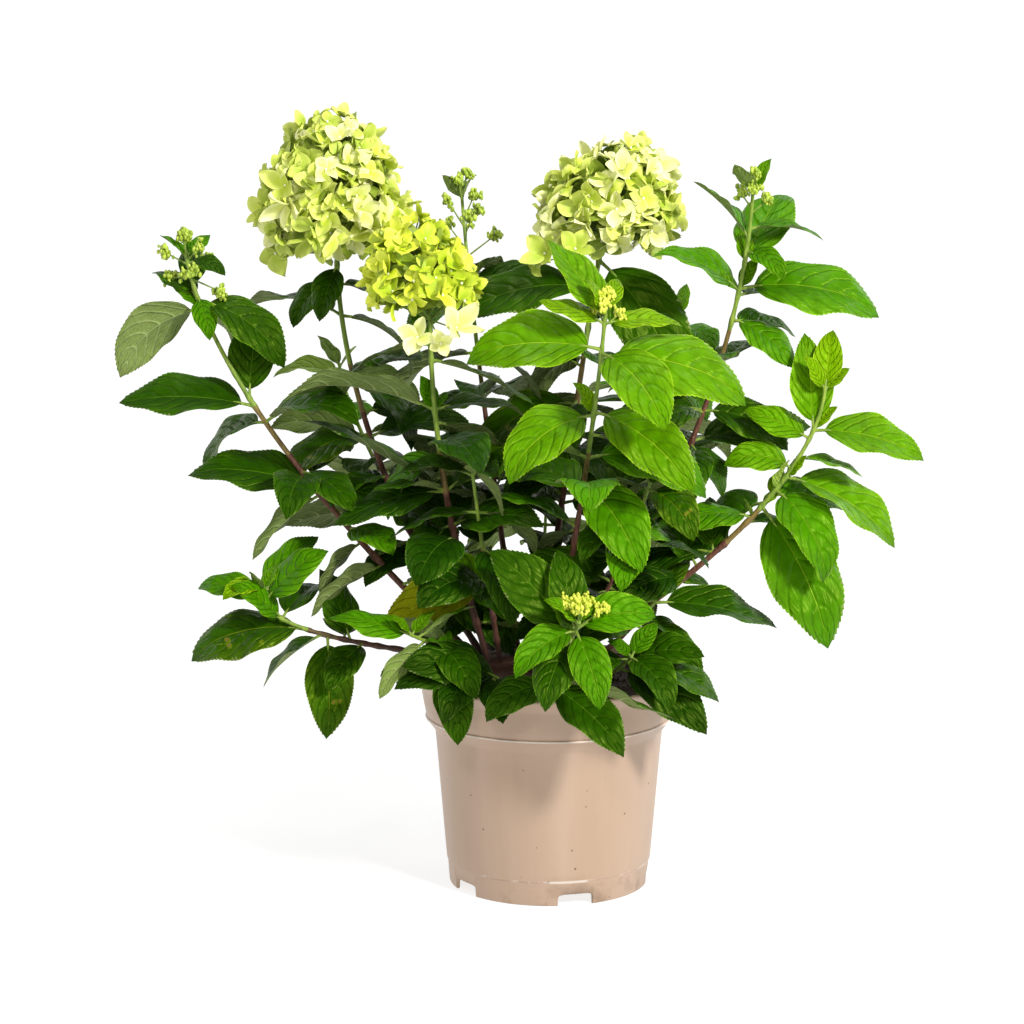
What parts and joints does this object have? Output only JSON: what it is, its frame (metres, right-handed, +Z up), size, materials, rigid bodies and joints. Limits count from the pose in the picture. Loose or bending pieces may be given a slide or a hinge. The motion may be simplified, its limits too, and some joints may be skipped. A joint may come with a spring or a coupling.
{
  "type": "potted hydrangea shrub",
  "caption": "Potted panicle hydrangea: upright canes with toothed leaves and cone-shaped heads of pale green flowers, standing in a plain round nursery pot.",
  "frame": {"origin": "centre of the pot's flat underside, at ground level", "axes": "+Z up, -Y towards the front of the plant, +X to the right as seen from the front"},
  "size_m": [0.5438, 0.3556, 0.5386],
  "materials": {
    "pot_plastic": "satin, moulded",
    "compost": "moist, crumbly",
    "old_wood": "rough bark",
    "cane_bark": "smooth young bark",
    "leaf": "satin leaf",
    "floret": "matte petal"
  },
  "bodies": {
    "root": {"cane_back_centre": "cane_bark", "cane_back_left": "cane_bark", "cane_back_low": "cane_bark", "cane_back_right": "cane_bark", "cane_front_bright": "cane_bark", "cane_front_left": "cane_bark", "cane_inner_left": "cane_bark", "cane_inner_right": "cane_bark", "cane_low_front_left": "cane_bark", "cane_low_left": "cane_bark", "cane_low_right": "cane_bark", "cane_outer_left": "cane_bark", "cane_outer_right": "cane_bark", "cane_rim_centre": "cane_bark", "cane_rim_front": "cane_bark", "cane_rim_left": "cane_bark", "cane_rim_right": "cane_bark", "cane_tall_centre": "cane_bark", "cane_tall_left": "cane_bark", "cane_upper_right": "cane_bark", "compost": "compost", "leaves_back_centre": "leaf", "leaves_back_left": "leaf", "leaves_back_low": "leaf", "leaves_back_right": "leaf", "leaves_front_bright": "leaf", "leaves_front_left": "leaf", "leaves_inner_left": "leaf", "leaves_inner_right": "leaf", "leaves_low_front_left": "leaf", "leaves_low_left": "leaf", "leaves_low_right": "leaf", "leaves_outer_left": "leaf", "leaves_outer_right": "leaf", "leaves_rim_centre": "leaf", "leaves_rim_front": "leaf", "leaves_rim_left": "leaf", "leaves_rim_right": "leaf", "leaves_tall_centre": "leaf", "leaves_tall_left": "leaf", "leaves_upper_right": "leaf", "panicle_centre": "floret", "panicle_front": "floret", "panicle_left": "floret", "pot": "pot_plastic", "root_crown": "old_wood"}
  },
  "joints": []
}
